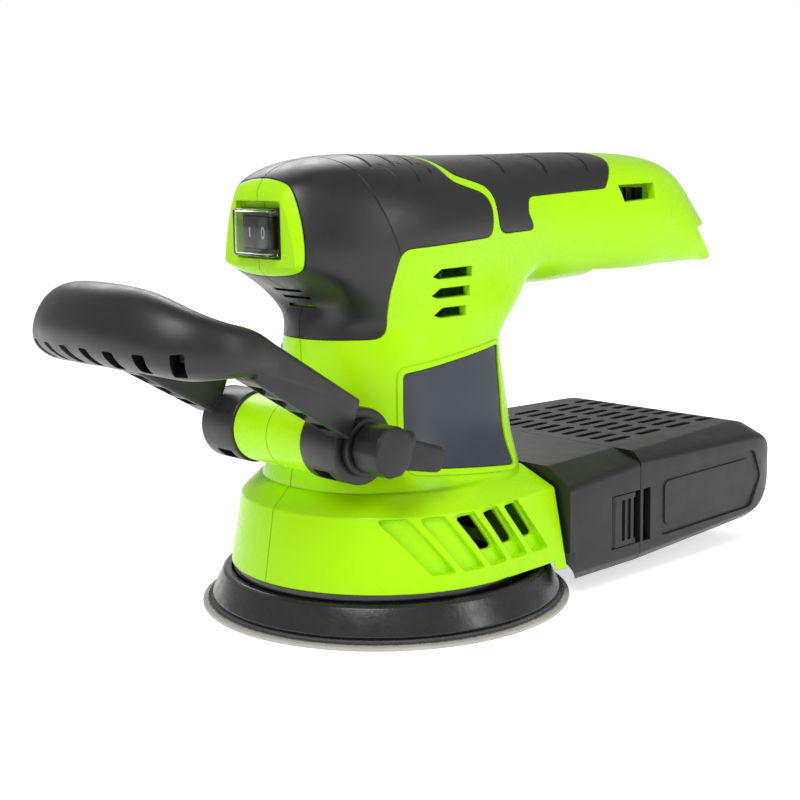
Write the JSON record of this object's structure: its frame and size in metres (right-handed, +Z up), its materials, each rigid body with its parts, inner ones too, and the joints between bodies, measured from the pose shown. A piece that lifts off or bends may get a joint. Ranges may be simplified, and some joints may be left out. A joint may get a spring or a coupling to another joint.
{
  "type": "random orbit sander",
  "caption": "Palm-held cordless random orbit sander with a moulded grip, tilting front handle, rocker switch and slide-off dust box.",
  "frame": {"origin": "centre of the sanding disc's lower face, on the pad's axis at rest", "axes": "+Z up from the sanding face, +X from the switch at the front to the grip's end and the dust box, +Y to the tool's right"},
  "size_m": [0.2719, 0.1228, 0.1465],
  "materials": {
    "lime": "satin moulded plastic, lime green",
    "soft": "soft charcoal overmould",
    "slate": "smooth slate-blue plate, bare",
    "steel": "machined steel",
    "black": "black moulded plastic",
    "clear": "clear flexible cover",
    "ferrite": "dull ferrite",
    "zinc": "die-cast zinc alloy",
    "copper": "copper windings and contacts",
    "dark": "dark grey nylon",
    "foam": "black moulded polyurethane",
    "hooks": "hook fastener face",
    "velour": "loop-backed abrasive disc",
    "seal": "glossy black rubber",
    "board": "green circuit board",
    "red_wire": "red wire insulation",
    "paper": "pleated filter paper"
  },
  "bodies": {
    "housing": {"housing_left": "lime", "housing_right": "lime", "head_grip_left": "soft", "head_grip_right": "soft", "handle_grip_left": "soft", "handle_grip_right": "soft", "label_plate_left": "slate", "label_plate_right": "slate", "housing_screw_1": "steel", "housing_screw_2": "steel", "housing_screw_3": "steel", "housing_screw_4": "steel", "housing_screw_5": "steel", "housing_screw_6": "steel", "switch_case": "black", "switch_boot": "clear", "motor_can": "steel", "magnet_ring": "ferrite", "end_bell": "black", "upper_bearing": "steel", "bearing_plate": "zinc", "lower_bearing": "steel", "skirt_seal": "seal", "battery_mount": "black", "terminal_block": "dark", "positive_blade": "copper", "negative_blade": "copper", "control_board": "board", "positive_lead": "red_wire", "negative_lead": "black", "motor_positive_lead": "red_wire", "motor_negative_lead": "black", "switch_lead": "black", "dust_port_seal": "seal"},
    "rotor": {"motor_shaft": "steel", "armature": "copper", "commutator": "copper", "fan": "dark", "eccentric": "zinc"},
    "pad": {"pad_bearing": "steel", "pad_hub": "zinc", "sanding_pad": "foam", "hook_face": "hooks", "sanding_disc": "velour", "pad_screw": "steel"},
    "switch_rocker": {"rocker": "black"},
    "front_handle": {"aux_handle": "soft", "clamp_bolt": "steel"},
    "washer": {"clamp_washer": "dark"},
    "knob": {"wing_knob": "dark"},
    "dust_box": {"dust_frame": "dark"},
    "left_latch": {"latch_left": "dark"},
    "right_latch": {"latch_right": "dark"},
    "canister": {"dust_canister": "dark", "filter": "paper"}
  },
  "joints": [
    {"name": "rotor_spin", "type": "hinge", "parent": "housing", "child": "rotor", "pos_m": [-0.00125, 0, 0.05], "axis": [0, 0, 1], "continuous": true},
    {"name": "pad_spin", "type": "hinge", "parent": "rotor", "child": "pad", "pos_m": [0, 0, 0.02], "axis": [0, 0, 1], "continuous": true},
    {"name": "rocker_tilt", "type": "hinge", "parent": "housing", "child": "switch_rocker", "pos_m": [-0.046, 0, 0.1237], "axis": [0, 0, 1], "range_deg": [0, 16]},
    {"name": "handle_tilt", "type": "hinge", "parent": "housing", "child": "front_handle", "pos_m": [-0.0384, 0, 0.0604], "axis": [0, 1, 0], "range_deg": [-35, 20]},
    {"name": "washer_slide", "type": "slide", "parent": "front_handle", "child": "washer", "axis": [0, -1, 0], "range_m": [0, 0.00038194]},
    {"name": "knob_turn", "type": "hinge", "parent": "washer", "child": "knob", "pos_m": [-0.0384, 0, 0.0604], "axis": [0, -1, 0], "range_deg": [0, 110]},
    {"name": "dust_box_slide", "type": "slide", "parent": "housing", "child": "dust_box", "axis": [1, 0, 0], "range_m": [0, 0.035]},
    {"name": "canister_pull", "type": "slide", "parent": "dust_box", "child": "canister", "axis": [1, 0, 0], "range_m": [0, 0.03]},
    {"name": "latch_left_press", "type": "hinge", "parent": "dust_box", "child": "left_latch", "pos_m": [0.06, -0.0478, 0.0218], "axis": [0, 0, 1], "range_deg": [0, 8], "stiffness_Nm_per_rad": 0.05},
    {"name": "latch_right_press", "type": "hinge", "parent": "dust_box", "child": "right_latch", "pos_m": [0.06, 0.0478, 0.0218], "axis": [0, 0, -1], "range_deg": [0, 8], "stiffness_Nm_per_rad": 0.05}
  ],
  "couplings": [
    {"joint": "knob_turn", "follows": "washer_slide", "rad_per_m": 5026.5}
  ]
}
